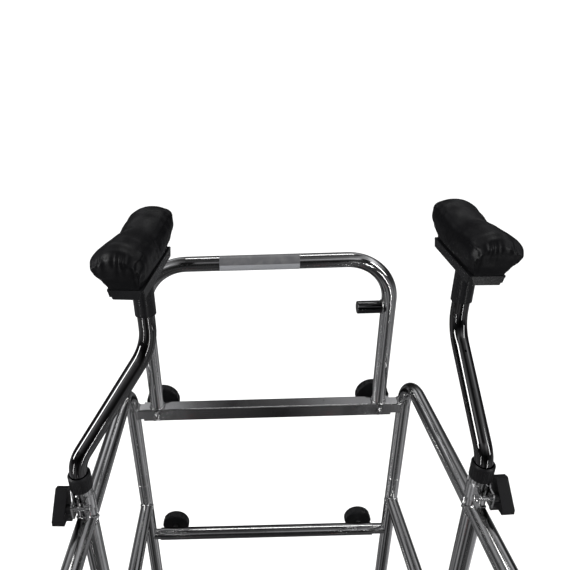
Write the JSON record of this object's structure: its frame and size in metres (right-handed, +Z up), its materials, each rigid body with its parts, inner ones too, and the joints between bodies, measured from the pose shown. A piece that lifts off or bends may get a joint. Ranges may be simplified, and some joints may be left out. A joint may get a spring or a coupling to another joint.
{
  "type": "walking frame with underarm supports",
  "caption": "Wheeled walking frame of chromed tube with width-adjusting crossbars, a front hoop and cranked posts that carry padded underarm supports.",
  "frame": {"origin": "on the floor, under the centre of the frame's outside box", "axes": "+Z up, +Y the way the user walks, +X to the user's right"},
  "size_m": [0.5786, 0.711, 1.133],
  "materials": {
    "satin_chrome": "satin chrome plate",
    "bright_chrome": "polished chrome plate",
    "zinc": "bright zinc plate",
    "label": "matt film, grey band over white",
    "black_plastic": "satin moulded plastic",
    "black_paint": "satin black powder coat",
    "black_vinyl": "satin vinyl upholstery",
    "rubber": "matt grey tread",
    "red_plastic": "moulded, satin"
  },
  "bodies": {
    "centre_frame": {"upper_crossbar": "satin_chrome", "lower_crossbar": "satin_chrome", "front_hoop": "satin_chrome", "hoop_peg": "bright_chrome", "blank_label": "label", "crossbar_nuts": "zinc"},
    "upper_left_knob": {"upper_left_knob": "black_plastic", "upper_left_knob_screw": "zinc"},
    "upper_right_knob": {"upper_right_knob": "black_plastic", "upper_right_knob_screw": "zinc"},
    "lower_left_knob": {"lower_left_knob": "black_plastic", "lower_left_knob_screw": "zinc"},
    "lower_right_knob": {"lower_right_knob": "black_plastic", "lower_right_knob_screw": "zinc"},
    "left_side_frame": {"left_front_frame_tube": "satin_chrome", "left_rear_frame_tube": "satin_chrome", "left_front_lower_leg": "satin_chrome", "left_rear_lower_leg": "satin_chrome", "left_mid_rail": "satin_chrome", "left_guide_tube": "satin_chrome", "left_upper_slide_bar": "satin_chrome", "left_lower_slide_bar": "satin_chrome", "left_clamp_band": "zinc", "left_clamp_bolt": "zinc"},
    "left_lever": {"left_clamp_lever": "black_plastic"},
    "left_collar": {"left_post_collar": "black_plastic"},
    "left_post": {"left_arm_post": "bright_chrome"},
    "left_support": {"left_tray_sleeve": "black_paint", "left_tray": "black_paint", "left_pad": "black_vinyl"},
    "left_front_caster": {"left_front_caster_fork": "zinc", "left_front_axle": "zinc"},
    "left_front_wheel": {"left_front_wheel": "rubber"},
    "left_rear_caster": {"left_rear_caster_fork": "zinc", "left_rear_axle": "zinc"},
    "left_rear_wheel": {"left_rear_wheel": "rubber"},
    "left_pedal": {"left_brake_pedal": "red_plastic"},
    "right_side_frame": {"right_front_frame_tube": "satin_chrome", "right_rear_frame_tube": "satin_chrome", "right_front_lower_leg": "satin_chrome", "right_rear_lower_leg": "satin_chrome", "right_mid_rail": "satin_chrome", "right_guide_tube": "satin_chrome", "right_upper_slide_bar": "satin_chrome", "right_lower_slide_bar": "satin_chrome", "right_clamp_band": "zinc", "right_clamp_bolt": "zinc"},
    "right_lever": {"right_clamp_lever": "black_plastic"},
    "right_collar": {"right_post_collar": "black_plastic"},
    "right_post": {"right_arm_post": "bright_chrome"},
    "right_support": {"right_tray_sleeve": "black_paint", "right_tray": "black_paint", "right_pad": "black_vinyl"},
    "right_front_caster": {"right_front_caster_fork": "zinc", "right_front_axle": "zinc"},
    "right_front_wheel": {"right_front_wheel": "rubber"},
    "right_rear_caster": {"right_rear_caster_fork": "zinc", "right_rear_axle": "zinc"},
    "right_rear_wheel": {"right_rear_wheel": "rubber"},
    "right_pedal": {"right_brake_pedal": "red_plastic"}
  },
  "joints": [
    {"name": "upper_left_knob_turn", "type": "hinge", "parent": "centre_frame", "child": "upper_left_knob", "pos_m": [-0.202, 0.349, 0.695], "axis": [0, 1, 0], "range_deg": [-360, 0]},
    {"name": "upper_right_knob_turn", "type": "hinge", "parent": "centre_frame", "child": "upper_right_knob", "pos_m": [0.203, 0.349, 0.695], "axis": [0, 1, 0], "range_deg": [-360, 0]},
    {"name": "lower_left_knob_turn", "type": "hinge", "parent": "centre_frame", "child": "lower_left_knob", "pos_m": [-0.204, 0.343, 0.361], "axis": [0, 1, 0], "range_deg": [-360, 0]},
    {"name": "lower_right_knob_turn", "type": "hinge", "parent": "centre_frame", "child": "lower_right_knob", "pos_m": [0.197, 0.343, 0.361], "axis": [0, 1, 0], "range_deg": [-360, 0]},
    {"name": "left_width_slide", "type": "slide", "parent": "centre_frame", "child": "left_side_frame", "axis": [-1, 0, 0], "range_m": [-0.007, 0.08]},
    {"name": "left_lever_turn", "type": "hinge", "parent": "left_side_frame", "child": "left_lever", "pos_m": [-0.255, 0.005, 0.794], "axis": [1, 0, 0], "range_deg": [0, 90]},
    {"name": "left_post_swivel", "type": "hinge", "parent": "left_side_frame", "child": "left_collar", "pos_m": [-0.255, 0.023, 0.83], "axis": [0, 0, 1], "range_deg": [-30, 70]},
    {"name": "left_post_height", "type": "slide", "parent": "left_collar", "child": "left_post", "axis": [0, 0, 1], "range_m": [-0.008, 0.242]},
    {"name": "left_pad_swivel", "type": "hinge", "parent": "left_post", "child": "left_support", "pos_m": [-0.16431, 0.10757, 1.03], "axis": [0, 0, 1], "range_deg": [-45, 45]},
    {"name": "left_front_caster_swivel", "type": "hinge", "parent": "left_side_frame", "child": "left_front_caster", "pos_m": [-0.255, 0.313, 0.115], "axis": [0, 0, 1], "continuous": true},
    {"name": "left_front_wheel_spin", "type": "hinge", "parent": "left_front_caster", "child": "left_front_wheel", "pos_m": [-0.255, 0.283, 0.05], "axis": [1, 0, 0], "continuous": true},
    {"name": "left_rear_caster_swivel", "type": "hinge", "parent": "left_side_frame", "child": "left_rear_caster", "pos_m": [-0.255, -0.267, 0.115], "axis": [0, 0, 1], "continuous": true},
    {"name": "left_rear_wheel_spin", "type": "hinge", "parent": "left_rear_caster", "child": "left_rear_wheel", "pos_m": [-0.255, -0.297, 0.05], "axis": [1, 0, 0], "continuous": true},
    {"name": "left_brake_press", "type": "hinge", "parent": "left_rear_caster", "child": "left_pedal", "pos_m": [-0.255, -0.317, 0.104], "axis": [1, 0, 0], "range_deg": [0, 14]},
    {"name": "right_width_slide", "type": "slide", "parent": "centre_frame", "child": "right_side_frame", "axis": [1, 0, 0], "range_m": [-0.007, 0.08]},
    {"name": "right_lever_turn", "type": "hinge", "parent": "right_side_frame", "child": "right_lever", "pos_m": [0.255, 0.005, 0.794], "axis": [1, 0, 0], "range_deg": [0, 90]},
    {"name": "right_post_swivel", "type": "hinge", "parent": "right_side_frame", "child": "right_collar", "pos_m": [0.255, 0.023, 0.83], "axis": [0, 0, 1], "range_deg": [-30, 60]},
    {"name": "right_post_height", "type": "slide", "parent": "right_collar", "child": "right_post", "axis": [0, 0, 1], "range_m": [0, 0.25]},
    {"name": "right_pad_swivel", "type": "hinge", "parent": "right_post", "child": "right_support", "pos_m": [0.24959, 0.14688, 1.03], "axis": [0, 0, 1], "range_deg": [-45, 45]},
    {"name": "right_front_caster_swivel", "type": "hinge", "parent": "right_side_frame", "child": "right_front_caster", "pos_m": [0.255, 0.313, 0.115], "axis": [0, 0, 1], "continuous": true},
    {"name": "right_front_wheel_spin", "type": "hinge", "parent": "right_front_caster", "child": "right_front_wheel", "pos_m": [0.255, 0.283, 0.05], "axis": [1, 0, 0], "continuous": true},
    {"name": "right_rear_caster_swivel", "type": "hinge", "parent": "right_side_frame", "child": "right_rear_caster", "pos_m": [0.255, -0.267, 0.115], "axis": [0, 0, 1], "continuous": true},
    {"name": "right_rear_wheel_spin", "type": "hinge", "parent": "right_rear_caster", "child": "right_rear_wheel", "pos_m": [0.255, -0.297, 0.05], "axis": [1, 0, 0], "continuous": true},
    {"name": "right_brake_press", "type": "hinge", "parent": "right_rear_caster", "child": "right_pedal", "pos_m": [0.255, -0.317, 0.104], "axis": [1, 0, 0], "range_deg": [0, 14]}
  ]
}
